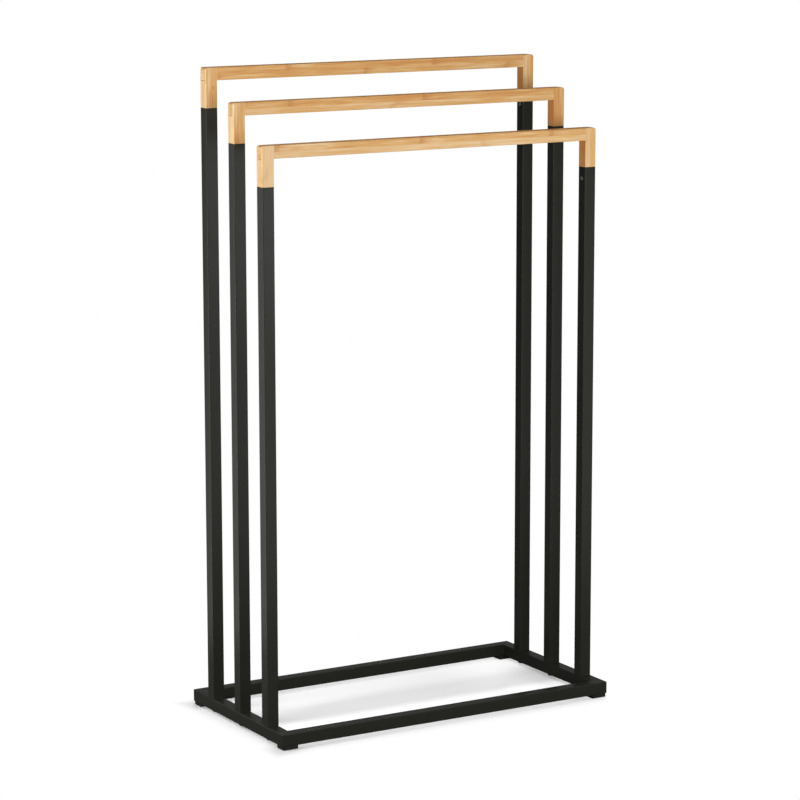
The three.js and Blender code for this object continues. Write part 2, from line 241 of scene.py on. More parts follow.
def pick(piece, kind, test):
    """Goes to edit mode with only the points, edges or faces that pass the test selected."""
    select_only(piece)
    bpy.ops.object.mode_set(mode="EDIT")
    bpy.ops.mesh.select_mode(type=kind)
    bpy.ops.mesh.select_all(action="DESELECT")
    shape = bmesh.from_edit_mesh(piece.data)
    parts = {"VERT": shape.verts, "EDGE": shape.edges, "FACE": shape.faces}[kind]
    found = [part for part in parts if test(part)]
    if not found:
        raise RuntimeError(f"{piece.name} has nothing there to shape")
    for part in found:
        part.select_set(True)
    bmesh.update_edit_mesh(piece.data)


def leave_edit():
    bpy.ops.object.mode_set(mode="OBJECT")


def sharp(edge):
    return edge.calc_face_angle(0) > SHARP


def along(axis):
    """A test for sharp edges that run along one axis."""
    def test(edge):
        step = edge.verts[1].co - edge.verts[0].co
        return sharp(edge) and abs(step[axis]) > 0.999 * step.length
    return test


def lies_at(edge, axis, value):
    """Whether an edge lies at that value of an axis, on either side of nought."""
    return all(abs(abs(end.co[axis]) - abs(value)) < 1e-5 for end in edge.verts)


def round_edges(piece, test, radius, segments=4):
    pick(piece, "EDGE", test)
    bpy.ops.mesh.bevel(offset=radius, segments=segments, affect="EDGES")
    leave_edit()


def bore_through(piece, wall):
    """Opens a piece from its underside to its top and leaves its wall."""
    pick(piece, "FACE", lambda face: abs(face.normal.z) > 0.99)
    bpy.ops.mesh.inset(thickness=wall)
    bpy.ops.mesh.bridge_edge_loops()
    leave_edit()


def slice_off(piece, place, away, close=True):
    """Cuts the piece on a plane and drops what lies on the side that away points to."""
    edit_all(piece)
    bpy.ops.mesh.bisect(
        plane_co=place, plane_no=away, use_fill=close, clear_outer=close, threshold=1e-7)
    leave_edit()


def score(piece, place, normal):
    """Draws a line round the piece where a plane crosses it, so that faces end there."""
    slice_off(piece, place, normal, close=False)


def face_outwards(piece):
    edit_all(piece)
    bpy.ops.mesh.normals_make_consistent(inside=False)
    leave_edit()


def turned(steps, sides=40):
    """A round solid on the Z axis, drawn out ring by ring from (radius, height) steps."""
    radius, height = steps[0]
    bpy.ops.object.select_all(action="DESELECT")
    bpy.ops.mesh.primitive_circle_add(
        vertices=sides, radius=radius, fill_type="NGON", location=(0, 0, height))
    piece = bpy.context.active_object
    settle(piece)
    edit_all(piece)
    for next_radius, next_height in steps[1:]:
        rise = (0, 0, next_height - height)
        bpy.ops.mesh.extrude_region_move(TRANSFORM_OT_translate={"value": rise})
        grow = next_radius / radius
        bpy.ops.transform.resize(value=(grow, grow, 1), center_override=(0, 0, next_height))
        radius, height = next_radius, next_height
    leave_edit()
    face_outwards(piece)
    return piece


def headed(shape, head, tall, shank, sides=40):
    """A bolt or screw along Z, its seat at z = 0, its head below and its shank above."""
    return turned([(head * out, -tall * down) for out, down in shape] + shank, sides)


def combine(piece, tool, how):
    """Joins the tool to the piece, cuts it away, or keeps only what lies in both."""
    select_only(piece)
    step = piece.modifiers.new("combine", "BOOLEAN")
    step.object = tool
    step.operation = how
    step.solver = "EXACT"
    bpy.ops.object.modifier_apply(modifier=step.name)
    bpy.data.objects.remove(tool)


def drill(piece, place, radius, low, high, lying=False):
    """Cuts a round hole, from low to high along Z, or along X where it is lying."""
    bit = turned([(radius, low), (radius, high)], sides=24)
    if lying:
        bit.rotation_euler.y = math.pi / 2
    bit.location = place
    settle(bit)
    combine(piece, bit, "DIFFERENCE")


def copy_of(piece, place=(0, 0, 0), turn=0.0):
    """A copy with its own mesh, turned about Z and then moved."""
    select_only(piece)
    bpy.ops.object.duplicate(linked=False)
    made = bpy.context.active_object
    made.rotation_euler.z = turn
    made.location = place
    settle(made)
    return made


def discard(*pieces):
    for piece in pieces:
        bpy.data.objects.remove(piece)


def finish(piece, name, look, slot, *nodes):
    """Names the piece, gives it the material of that look, shades it smooth over its small
    roundings, and lets it stand for CAD nodes."""
    piece.name = name
    piece.data.name = name
    piece.data.materials.clear()
    piece.data.materials.append(material_named(look))
    select_only(piece)
    bpy.ops.object.shade_smooth_by_angle(angle=SMOOTH)
    weights = piece.modifiers.new("weights", "WEIGHTED_NORMAL")
    weights.keep_sharp = True
    bpy.ops.object.modifier_apply(modifier=weights.name)
    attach(piece, "root")
    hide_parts(*nodes)


# -------- shader nodes

def node(tree, kind, inputs=(), **settings):
    """Adds a shader node. A value in inputs is set on its socket, and a socket is linked to it."""
    made = tree.nodes.new("ShaderNode" + kind)
    for key, value in settings.items():
        setattr(made, key, value)
    for key, value in dict(inputs).items():
        if isinstance(value, bpy.types.NodeSocket):
            tree.links.new(value, made.inputs[key])
        else:
            made.inputs[key].default_value = value
    return made


def output(kind, inputs, **settings):
    """Adds a shader node to the tree that its inputs come from, and gives its first output."""
    sockets = (value for value in inputs.values() if isinstance(value, bpy.types.NodeSocket))
    return node(next(sockets).id_data, kind, inputs, **settings).outputs[0]


def calc(operation, *values):
    return output("Math", dict(enumerate(values)), operation=operation)


def plus(first, second):
    return calc("ADD", first, second)


def minus(first, second):
    return calc("SUBTRACT", first, second)


def times(first, second):
    return calc("MULTIPLY", first, second)


def size_of(value):
    return calc("ABSOLUTE", value)


def off_middle(value, by):
    """Brings a noise of 0 to 1 to both sides of nought, at that strength."""
    return times(minus(value, 0.5), by)


def apart(vector):
    """The three numbers of a vector, each on a socket of its own."""
    return node(vector.id_data, "SeparateXYZ", {0: vector}).outputs


def blend(factor, first, second):
    made = node(factor.id_data, "Mix", {0: factor, 6: first, 7: second}, data_type="RGBA")
    return made.outputs[2]


def ramp(value, low, high, to_low=0.0, to_high=1.0):
    """Value from low to high becomes to_low to to_high, easing at both ends."""
    inputs = {0: value, 1: low, 2: high, 3: to_low, 4: to_high}
    return output("MapRange", inputs, interpolation_type="SMOOTHSTEP")


def stretched(place, scale):
    return output("Mapping", {"Vector": place, "Scale": scale})


def noise(place, scale=1.0, detail=2.0, roughness=0.5):
    return output(
        "TexNoise", {"Vector": place, "Scale": scale, "Detail": detail, "Roughness": roughness})


def fibrous(place, along_grain, across, **settings):
    """Noise with so many waves to the metre along the grain, and so many across it."""
    return noise(stretched(place, (along_grain, across, across)), **settings)


def bump(height, strength, distance):
    return output("Bump", {"Height": height, "Strength": strength, "Distance": distance})


def opaque(tone):
    return (*tone, 1.0)


def surface(name, **settings):
    """A new material with the values that are the same all over it, and its own coordinates."""
    material = bpy.data.materials.new(name)
    material.use_nodes = True
    tree = material.node_tree
    for key, value in settings.items():
        tree.nodes["Principled BSDF"].inputs[key].default_value = value
    return material, tree, node(tree, "TexCoord").outputs["Object"]


def lay_on(tree, tone, cloud, rough, relief, strength, distance):
    """Gives a surface its colour, its relief, and a roughness that a noise takes from the
    first to the second value."""
    sockets = {
        "Base Color": tone,
        "Roughness": ramp(cloud, 0.3, 0.7, *rough),
        "Normal": bump(relief, strength, distance)}
    for key, socket in sockets.items():
        tree.links.new(socket, tree.nodes["Principled BSDF"].inputs[key])


# -------- materials

def left_on_faces(tree, key):
    """The three numbers that the modelling left on each face under that name."""
    return node(tree, "Attribute", attribute_name=key).outputs["Vector"]


def strip_place(split, grain, seed):
    """Coordinates with the grain along the first, on a stretch of its own for each strip."""
    first, second = sorted({0, 1, 2} - {grain})
    own_stretch = times(seed, 1.7)
    return output("CombineXYZ", {
        0: plus(split[grain], own_stretch), 1: plus(split[first], own_stretch),
        2: split[second]})


def wandering(own):
    """A strip's coordinates, bent aside by a millimetre or so, as its fibres are."""
    wander = fibrous(own, 16.0, 40.0, detail=1.0)
    aside = output("CombineXYZ", {1: times(wander, 0.0016), 2: times(wander, -0.0012)})
    return output("VectorMath", {0: own, 1: aside}, operation="ADD")


def past_growth_node(along_grain, places):
    """Signed way along the grain from the nearest growth node."""
    first, *others = places
    past = minus(along_grain, first)
    for place in others:
        other = minus(along_grain, place)
        closer = calc("LESS_THAN", size_of(other), size_of(past))
        past = plus(past, times(closer, minus(other, past)))
    return past


def growth_marks(past, mottle):
    """A growth node's soft halo, its broken core, and its two rims: a ridge and a scar."""
    def line(place, half_width, low, high):
        near = ramp(size_of(minus(past, place)), 0.0, half_width, 1.0, 0.0)
        return times(near, ramp(mottle, low, high))

    ridge = line(-0.0022, 0.0011, 0.30, 0.55)
    scar = line(0.0026, 0.0009, 0.42, 0.62)
    core = line(0.0002, 0.0050, 0.25, 0.70)
    halo = ramp(size_of(minus(past, 0.004)), 0.0, 0.016, 1.0, 0.0)
    return halo, core, calc("MAXIMUM", ridge, scar)


def soft_spot(place, key, grain, squeeze, edge, reach):
    """One soft spot where the face says, longer along the grain than across it."""
    tree = place.id_data
    gap = output("VectorMath", {0: place, 1: left_on_faces(tree, key)}, operation="SUBTRACT")
    scale = [1.0, 1.0, 1.0]
    scale[grain] = squeeze
    away = node(tree, "VectorMath", {0: stretched(gap, scale)}, operation="LENGTH")
    return ramp(away.outputs["Value"], edge, reach, 1.0, 0.0)


def grain_tone(finishes, depth):
    """Bamboo's colour, pale at a depth of 0 and dark at 1, with a little more at both ends."""
    tone = node(depth.id_data, "ValToRGB", {0: plus(times(depth, 0.5), 0.25)})
    stops = tone.color_ramp.elements
    inner_stops = (
        (0.25, finishes.bamboo_pale), (0.5, finishes.bamboo_mid), (0.75, finishes.bamboo_dark))
    for at, shade in inner_stops:
        stops.new(at).color = opaque(shade)
    stops[0].color = opaque([min(1.0, part * 1.07) for part in finishes.bamboo_pale])
    stops[-1].color = opaque(finishes.bamboo_stain)
    return tone.outputs[0]


def bamboo(finishes, name, grain):
    """Laminated bamboo with its grain along one axis: fibres, growth nodes and pin knots."""
    material, tree, place = surface(name, IOR=1.38)
    split = apart(place)
    # each face's tone; on the long faces other than front and back it holds painted light and shade
    tone_here, lean, contrast = apart(left_on_faces(tree, "strip_look"))
    marks, slant, seed = apart(left_on_faces(tree, "strip_marks"))
    rise = node(tree, "Attribute", attribute_name="strip_rise").outputs["Fac"]
    own = strip_place(split, grain, seed)
    flow = wandering(own)

    # a growth node runs along a slanted and crooked line
    crooked = off_middle(fibrous(own, 90.0, 260.0, detail=3.0), 0.005)
    along_grain = minus(plus(split[grain], crooked), times(slant, rise))
    past = past_growth_node(along_grain, apart(left_on_faces(tree, "strip_nodes")))
    mottle = fibrous(own, 420.0, 900.0, detail=4.0, roughness=0.75)
    halo, core, rims = growth_marks(past, mottle)

    # fibres, from the finest to the slow drift of tone along a strip
    fine = fibrous(flow, 14.0, 1500.0, detail=3.0, roughness=0.6)
    streak = fibrous(flow, 28.0, 650.0)
    broad = fibrous(flow, 9.0, 330.0)
    drift = fibrous(flow, 9.0, 60.0, detail=1.0)
    lens = ramp(fibrous(flow, 22.0, 900.0, detail=1.0), 0.66, 0.78)
    bundles = output(
        "TexVoronoi", {"Vector": stretched(flow, (7.0, 1050.0, 1050.0)), "Scale": 1.0},
        feature="F1")
    strand = ramp(bundles, 0.12, 0.42, 1.0, 0.0)

    lively = off_middle(fine, 0.9)
    for layer, by in ((drift, 0.7), (broad, 1.7), (streak, 1.8)):
        lively = plus(lively, off_middle(layer, by))
    depth = plus(tone_here, times(lean, split[grain]))
    depth = plus(depth, times(contrast, lively))
    tone = grain_tone(finishes, depth)

    # the fibre bundles show faintly on long faces, and as stronger dots on cut ends
    normal = apart(node(tree, "NewGeometry").outputs["Normal"])
    end = ramp(size_of(normal[grain]), 0.55, 0.95)
    knot = soft_spot(place, "strip_knot", grain, squeeze=0.55, edge=0.0003, reach=0.0014)
    dark_layers = (
        (strand, ramp(end, 0.0, 1.0, 0.12, 0.40)),
        (lens, times(contrast, 0.5)),
        (halo, times(marks, 0.24)),
        (core, times(marks, 0.56)),
        (rims, times(marks, 0.72)),
        (knot, 0.85))
    for layer, by in dark_layers:
        tone = blend(times(layer, by), tone, opaque(finishes.bamboo_node))
    stain = soft_spot(place, "strip_stain", grain, squeeze=0.16, edge=0.0, reach=0.0030)
    stain = times(stain, ramp(broad, 0.3, 0.6, 0.45, 0.9))
    tone = blend(stain, tone, opaque(finishes.bamboo_stain))

    sunk = times(plus(rims, strand), 0.4)
    relief = minus(fine, sunk)
    lay_on(tree, tone, fine, (0.54, 0.66), relief, strength=0.3, distance=0.00006)
    return material


def powder_coat(finishes):
    """Satin black powder coat with a fine orange peel and a little dust."""
    material, tree, place = surface("black powder coat", IOR=1.37)
    cloud = noise(place, 26.0, detail=3.0)
    fleck = ramp(noise(place, 900.0), 0.52, 0.72)
    dust = times(fleck, cloud)
    peel = noise(place, 1100.0)
    tone = blend(dust, opaque(finishes.coat), opaque(finishes.coat_dust))
    lay_on(tree, tone, cloud, (0.27, 0.32), peel, strength=0.06, distance=0.00004)
    return material


def rubber(finishes):
    """Moulded rubber with a fine matt grain."""
    material, tree, place = surface("black rubber", IOR=1.35)
    grain = noise(place, 2400.0, detail=3.0)
    cloud = noise(place, 140.0)
    dust = ramp(cloud, 0.35, 0.7)
    tone = blend(dust, opaque(finishes.rubber), opaque(finishes.coat_dust))
    lay_on(tree, tone, cloud, (0.72, 0.88), grain, strength=0.4, distance=0.00006)
    return material


def plated(name, tone, rough):
    """Plated steel with a fine grain, cloudy gloss and small dull spots."""
    material, tree, place = surface(name, Metallic=1.0)
    cloud = noise(place, 420.0, detail=3.0)
    spots = ramp(noise(place, 1500.0), 0.55, 0.75)
    grain = noise(place, 2600.0)
    dull = [part * 0.55 for part in tone]
    spotted = blend(times(spots, 0.6), opaque(tone), opaque(dull))
    lay_on(tree, spotted, cloud, (rough, rough + 0.14), grain, strength=0.2, distance=0.00004)
    return material


def material_named(name):
    """The rack's material of that name, made the first time that it is wanted."""
    finishes = bpy.context.scene.rack_finishes
    makers = {
        "black powder coat": lambda: powder_coat(finishes),
        "bamboo rail": lambda: bamboo(finishes, name, grain=0),
        "bamboo upright": lambda: bamboo(finishes, name, grain=2),
        "black rubber": lambda: rubber(finishes),
        "bright zinc": lambda: plated(name, finishes.zinc, rough=0.28),
        "black zinc": lambda: plated(name, finishes.black_zinc, rough=0.38),
        "smoked zinc": lambda: plated(name, finishes.smoked_zinc, rough=0.30),
    }
    return bpy.data.materials.get(name) or makers[name]()


# -------- the pieces

def middle_of(low, high):
    return (Vector(low) + Vector(high)) / 2


def turn_for(side):
    """Right-hand pieces are left-hand pieces turned half way round."""
    return 0.0 if side == "left" else math.pi


class RACK_OT_base_frame(bpy.types.Operator):
    """Welded ring of square tube, divided on its mitres into four rails"""

    bl_idname = "rack.base_frame"
    bl_label = "Base frame"

    def execute(self, context):
        sizes = context.scene.rack_sizes
        low = Vector(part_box("base_side_rail_left")[0])
        high = Vector(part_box("base_side_rail_right")[1])
        low.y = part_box("base_front_rail")[0].y
        high.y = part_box("base_back_rail")[1].y
        tube = high.z - low.z
        half = Vector((high.x, high.y, 0))
        # more than a tube's width, so that the two mitres make the rail's ends
        slab = 1.6 * tube

        ring = self.ring_of_tube(sizes, low, high, tube)
        ways_out = {
            "base_front_rail": Vector((0, -1, 0)), "base_back_rail": Vector((0, 1, 0)),
            "base_side_rail_left": Vector((-1, 0, 0)), "base_side_rail_right": Vector((1, 0, 0))}
        for rail_name, outward in ways_out.items():
            rail = copy_of(ring)
            sideways = Vector((abs(outward.y), abs(outward.x), 0))
            outer_face = outward * abs(outward.dot(half))
            slice_off(rail, outer_face - outward * slab, -outward)
            for way in (-1, 1):
                reach = sideways.dot(half) - sizes.seam / math.sqrt(2)
                slice_off(rail, outer_face + sideways * way * reach, sideways * way - outward)
            # bolts go right through a side rail, foot screws end inside the tube
            hole_top = high.z + tube if "side" in rail_name else low.z + tube / 2
            fasteners, shank = self.fasteners_in(sizes, rail_name)
            for fastener in fasteners:
                place = middle_of(*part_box(fastener))
                place.z = 0
                drill(rail, place, shank + sizes.hole_play, low.z - tube, hole_top)
            piece_name = rail_name.replace("base_", "steel_", 1)
            finish(rail, piece_name, "black powder coat", "black_steel", rail_name)
        discard(ring)
        return {"FINISHED"}

    @staticmethod
    def ring_of_tube(sizes, low, high, tube):
        """A closed ring of square tube with square corners."""
        ring = block(low, high)
        bore_through(ring, tube)
        round_edges(ring, sharp, sizes.tube_corner)
        select_only(ring)
        wall = ring.modifiers.new("wall", "SOLIDIFY")
        wall.thickness = sizes.tube_wall
        wall.offset = -1
        wall.use_even_offset = True
        bpy.ops.object.modifier_apply(modifier=wall.name)
        return ring

    @staticmethod
    def fasteners_in(sizes, rail_name):
        """The names and the radius of the bolts in a side rail, or of the other rails' screws."""
        if "side" in rail_name:
            side = rail_name.split("_")[-1]
            return [f"base_bolt_{level}_{side}" for level in LEVELS], sizes.bolt_shank
        end = rail_name.split("_")[1]
        return [f"foot_screw_{end}_{side}" for side in SIDES], sizes.foot_shank


class RACK_OT_posts(bpy.types.Operator):
    """Six square tubes, each drilled in its inner wall for the screw that holds the bamboo"""

    bl_idname = "rack.posts"
    bl_label = "Posts"

    def execute(self, context):
        sizes = context.scene.rack_sizes
        low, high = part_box("post_back_left")
        half = (high - low) / 2
        tall = high.z - low.z
        pattern = block((-half.x, -half.y, 0), (half.x, half.y, tall))
        round_edges(pattern, along(2), sizes.tube_corner)
        bore_through(pattern, sizes.tube_wall)
        round_edges(
            pattern, lambda edge: sharp(edge) and not along(2)(edge), sizes.post_rim, segments=2)
        screw = middle_of(*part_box("spigot_screw_back_left"))
        past_wall = 4 * CLEAR
        drill(
            pattern, (0, 0, screw.z - low.z), sizes.spigot_shank + sizes.hole_play,
            half.x - past_wall, half.x + past_wall, lying=True)
        for level, side in POSTS:
            name = f"post_{level}_{side}"
            low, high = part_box(name)
            post = copy_of(pattern)
            pick(post, "VERT", lambda point: point.co.z > tall / 2)
            bpy.ops.transform.translate(value=(0, 0, high.z - low.z - tall))
            leave_edit()
            place = middle_of(low, high)
            post.location = (place.x, place.y, low.z)
            post.rotation_euler.z = turn_for(side)
            settle(post)
            finish(post, f"steel_{name}", "black powder coat", "black_steel", name)
        discard(pattern)
        return {"FINISHED"}


class RACK_OT_bamboo_arches(bpy.types.Operator):
    """Three bamboo arches: a rail with through tenons, bridled into two uprights with spigots"""

    bl_idname = "rack.bamboo_arches"
    bl_label = "Bamboo arches"

    def execute(self, context):
        sizes = context.scene.rack_sizes
        arch = self.measured()
        whole = self.whole_arch(sizes, arch)
        rail = self.cut_rail(sizes, arch, whole)
        upright = self.cut_upright(sizes, arch, whole)
        for level in LEVELS:
            low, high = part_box(f"bamboo_rail_{level}")
            top = Vector((0, (low.y + high.y) / 2, high.z))
            piece = copy_of(rail, top)
            name = f"rail_{level}"
            self.glue_up(piece, name, 0.0, top.z + arch.glue_line)
            finish(piece, f"arch_{name}", "bamboo rail", "bamboo", f"bamboo_{name}")
            for side in SIDES:
                piece = copy_of(upright, top, turn_for(side))
                name = f"upright_{level}_{side}"
                glue_line = -arch.upright_x if side == "left" else arch.upright_x
                self.glue_up(piece, name, top.z - arch.upright_tall / 2, glue_line)
                finish(piece, f"arch_{name}", "bamboo upright", "bamboo", f"bamboo_{name}")
        discard(whole, rail, upright)
        return {"FINISHED"}

    @staticmethod
    def measured():
        """What the frame says about an arch, with heights counted from its top."""
        low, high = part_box("bamboo_rail_front")
        half = (high - low) / 2
        thick = 2 * half.y
        inner = half.x - thick
        rail_tall = high.z - low.z
        return SimpleNamespace(
            half_wide=half.x, half_thick=half.y, thick=thick, inner=inner,
            beyond=2 * half.x,
            upright_x=inner + thick / 2,
            rail_tall=rail_tall,
            upright_tall=high.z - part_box("post_front_left")[1].z,
            glue_line=-rail_tall / 2,
            spigot_end=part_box("bamboo_upright_front_left")[0].z - high.z,
            screw_z=middle_of(*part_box("spigot_screw_front_left")).z - high.z)

    @staticmethod
    def whole_arch(sizes, arch):
        """One arch in a single piece, its top at z = 0."""
        whole = block(
            (-arch.half_wide, -arch.half_thick, -arch.rail_tall),
            (arch.half_wide, arch.half_thick, 0))
        for way in (-1, 1):
            score(whole, (way * arch.inner, 0, 0), (1, 0, 0))

        def over_upright(face):
            return face.normal.z < -0.99 and abs(face.calc_center_median().x) > arch.inner

        def at_corner(edge):
            return lies_at(edge, 2, 0) and lies_at(edge, 0, arch.half_wide)

        def on_rim(edge):
            return sharp(edge) and lies_at(edge, 2, arch.upright_tall)

        def on_outline(edge):
            return sharp(edge) and lies_at(edge, 1, arch.half_thick) and not on_rim(edge)

        pick(whole, "FACE", over_upright)
        drop = (0, 0, arch.rail_tall - arch.upright_tall)
        bpy.ops.mesh.extrude_region_move(TRANSFORM_OT_translate={"value": drop})
        leave_edit()
        round_edges(whole, at_corner, sizes.arch_corner, segments=8)
        round_edges(whole, on_outline, sizes.eased_edge)
        round_edges(whole, on_rim, sizes.rim_edge, segments=3)
        return whole

    @staticmethod
    def cut_rail(sizes, arch, whole):
        """The beam between the uprights, with a tongue through both of them."""
        gap = sizes.glue_gap
        cheek = sizes.tenon / 2
        bottom = -arch.rail_tall - gap / 2
        past = arch.thick
        shape = block((-arch.inner + gap, -past, bottom), (arch.inner - gap, past, past))
        tongue = block((-arch.beyond, -cheek, bottom), (arch.beyond, cheek, past))
        combine(shape, tongue, "UNION")
        rail = copy_of(whole)
        combine(rail, shape, "INTERSECT")
        score(rail, (0, 0, arch.glue_line), (0, 0, 1))
        return rail

    @staticmethod
    def cut_upright(sizes, arch, whole):
        """The left-hand upright, with an open slot at the top and a spigot below."""
        past = arch.thick
        upright = copy_of(whole)
        left_end = block((-arch.beyond, -past, -2 * arch.upright_tall), (-arch.inner, past, past))
        combine(upright, left_end, "INTERSECT")
        cheek = sizes.tenon / 2 + sizes.glue_gap
        slot_floor = -arch.rail_tall - sizes.seat_gap
        slot = block((-arch.beyond, -cheek, slot_floor), (0, cheek, past))
        combine(upright, slot, "DIFFERENCE")

        def at_end(edge):
            return sharp(edge) and lies_at(edge, 2, arch.spigot_end)

        half = sizes.spigot / 2
        spigot = block(
            (-arch.upright_x - half, -half, arch.spigot_end),
            (-arch.upright_x + half, half, -arch.upright_tall + CLEAR))
        round_edges(spigot, along(2), sizes.spigot_corner)
        round_edges(spigot, at_end, sizes.spigot_chamfer, segments=1)
        combine(upright, spigot, "UNION")
        drill(
            upright, (-arch.inner, 0, arch.screw_z), sizes.spigot_shank + sizes.hole_play,
            -sizes.spigot_hole, 2 * CLEAR, lying=True)
        score(upright, (-arch.upright_x, 0, 0), (1, 0, 0))
        return upright

    @staticmethod
    def glue_up(piece, name, seen_middle, glue_line):
        """Leaves on each face how the strip that it is on looks. The first strip is the one
        further from the rack's middle or from the floor."""
        mesh = piece.data
        grain = 0 if name.startswith("rail") else 2
        across = 2 - grain
        first_seed = 1.0 + 2 * list(STRIPS).index(name)
        rows = []
        for face in mesh.polygons:
            which = 0 if abs(face.center[across]) > abs(glue_line) else 1
            look = STRIPS[name][which]
            if abs(face.normal[grain]) > 0.7:
                kind = "end"
            else:
                # the long faces other than front and back take the side tone, which is painted light
                # and shade
                kind = "front" if abs(face.normal.y) > abs(face.normal[across]) else "side"
            # the tone leans about the middle of what can be seen of the piece
            tone, lean, contrast = look[kind]
            rows.append((
                (tone - lean * seen_middle, lean, contrast), (*look["marks"], first_seed + which),
                look["nodes"], look["knot"], look["stain"]))
        keys = ("strip_look", "strip_marks", "strip_nodes", "strip_knot", "strip_stain")
        for key, values in zip(keys, zip(*rows)):
            store = mesh.attributes.new(key, "FLOAT_VECTOR", "FACE")
            store.data.foreach_set("vector", [part for value in values for part in value])
        # how far each point is from the glue line, for the slant of a growth node
        store = mesh.attributes.new("strip_rise", "FLOAT", "POINT")
        store.data.foreach_set("value", [point.co[across] - glue_line for point in mesh.vertices])


class RACK_OT_bolts(bpy.types.Operator):
    """A button-head bolt with a washer under each post, driven up through the side rail"""

    bl_idname = "rack.bolts"
    bl_label = "Bolts and washers"

    def execute(self, context):
        sizes = context.scene.rack_sizes
        bolt_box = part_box("base_bolt_front_left")
        washer_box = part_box("base_washer_front_left")
        seat = washer_box[0].z
        bolt = self.button_head_bolt(sizes, *bolt_box, seat)
        washer = self.flat_washer(sizes, *washer_box)
        for level, side in POSTS:
            place = middle_of(*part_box(f"base_washer_{level}_{side}"))
            place.z = seat
            for kind, pattern in (("bolt", bolt), ("washer", washer)):
                piece = copy_of(pattern, place, turn_for(side))
                name = f"{kind}_{level}_{side}"
                finish(piece, name, "black zinc", "black_zinc", f"base_{name}")
        discard(bolt, washer)
        return {"FINISHED"}

    @staticmethod
    def button_head_bolt(sizes, low, high, seat):
        """A bolt with a hexagon socket that ends in a shallow cone, as a drill leaves it."""
        head = (high.x - low.x) / 2
        tall = seat - low.z
        shank = sizes.bolt_shank
        tip = sizes.bolt_tip
        top = high.z - seat
        steps = [(shank, 0), (shank, top - tip), (shank - tip, top)]
        bolt = headed(BUTTON_HEAD, head, tall, steps, sides=48)
        across = sizes.socket / math.sqrt(3)
        deep = sizes.socket_depth
        key = turned([
            (across, -tall - CLEAR), (across, -tall + deep), (across * 0.1, -tall + deep * 1.3)],
            sides=6)
        combine(bolt, key, "DIFFERENCE")
        return bolt

    @staticmethod
    def flat_washer(sizes, low, high):
        outer = (high.x - low.x) / 2
        washer = turned([(outer, 0), (outer, high.z - low.z)], sides=48)
        bore_through(washer, outer - sizes.bolt_shank - sizes.hole_play)
        round_edges(washer, sharp, sizes.washer_edge, segments=2)
        return washer


def cross_head_screw(head, tall, shank, reach):
    """A pan-head screw with a point and a cross recess."""
    steps = [(shank, 0), (shank, reach - 2 * shank), (shank * 0.1, reach)]
    screw = headed(PAN_HEAD, head, tall, steps)
    wide = head * 0.52
    thin = head * 0.11
    recess_floor = -tall * 0.35
    narrower = 0.55
    recess = block((-wide, -thin, -2 * tall), (wide, thin, recess_floor))
    combine(recess, block((-thin, -wide, -2 * tall), (thin, wide, recess_floor)), "UNION")
    pick(recess, "VERT", lambda point: point.co.z > -tall)
    bpy.ops.transform.resize(value=(narrower, narrower, 1), center_override=(0, 0, recess_floor))
    leave_edit()
    combine(screw, recess, "DIFFERENCE")
    return screw


class RACK_OT_spigot_screws(bpy.types.Operator):
    """A pan-head screw through the inner wall of each post into the bamboo"""

    bl_idname = "rack.spigot_screws"
    bl_label = "Spigot screws"

    def execute(self, context):
        sizes = context.scene.rack_sizes
        low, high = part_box("spigot_screw_front_left")
        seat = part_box("post_front_left")[1].x
        head = (high.y - low.y) / 2
        screw = cross_head_screw(head, high.x - seat, sizes.spigot_shank, seat - low.x)
        # the head looks along +X from a left-hand post
        screw.rotation_euler.y = -math.pi / 2
        settle(screw)
        for level, side in POSTS:
            name = f"spigot_screw_{level}_{side}"
            place = middle_of(*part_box(name))
            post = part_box(f"post_{level}_{side}")
            place.x = post[1].x if side == "left" else post[0].x
            piece = copy_of(screw, place, turn_for(side))
            piece_name = name.replace("spigot_", "pan_head_", 1)
            finish(piece, piece_name, "smoked zinc", "black_zinc", name)
        discard(screw)
        return {"FINISHED"}


class RACK_OT_feet(bpy.types.Operator):
    """A rubber foot under each corner, with a pocket that sinks the head of its screw"""

    bl_idname = "rack.feet"
    bl_label = "Feet"

    def execute(self, context):
        sizes = context.scene.rack_sizes
        foot_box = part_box("foot_front_left")
        screw_low, screw_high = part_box("foot_screw_front_left")
        off_centre = middle_of(screw_low, screw_high) - middle_of(*foot_box)
        head = (screw_high.x - screw_low.x) / 2
        seat = sizes.foot_seat
        foot = self.foot_with_pocket(sizes, *foot_box, off_centre, head)
        screw = cross_head_screw(head, seat - screw_low.z, sizes.foot_shank, screw_high.z - seat)
        for end in ENDS:
            for side in SIDES:
                name = f"{end}_{side}"
                # the pocket is off the foot's centre, so the feet mirror each other
                pad = copy_of(foot)
                pad.scale = (1 if side == "left" else -1, 1 if end == "front" else -1, 1)
                settle(pad)
                face_outwards(pad)
                place = middle_of(*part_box(f"foot_{name}"))
                pad.location = (place.x, place.y, 0)
                settle(pad)
                finish(pad, f"rubber_foot_{name}", "black rubber", "foot_rubber", f"foot_{name}")
                place = middle_of(*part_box(f"foot_screw_{name}"))
                piece = copy_of(screw, (place.x, place.y, seat))
                finish(piece, f"sunk_screw_{name}", "bright zinc", "zinc_steel", f"foot_screw_{name}")
        discard(foot, screw)
        return {"FINISHED"}

    @staticmethod
    def foot_with_pocket(sizes, low, high, off_centre, head):
        """The front left foot, standing round the Z axis."""
        half = (high - low) / 2
        foot = block((-half.x, -half.y, 0), (half.x, half.y, 2 * half.z))
        round_edges(foot, along(2), sizes.foot_corner)
        round_edges(foot, sharp, sizes.foot_edge, segments=3)
        head_room = head + sizes.hole_play
        shank_room = sizes.foot_shank + sizes.hole_play
        pocket = turned([
            (head_room, -CLEAR), (head_room, sizes.foot_seat),
            (shank_room, sizes.foot_seat), (shank_room, 10 * CLEAR)])
        pocket.location = (off_centre.x, off_centre.y, 0)
        settle(pocket)
        combine(foot, pocket, "DIFFERENCE")
        return foot


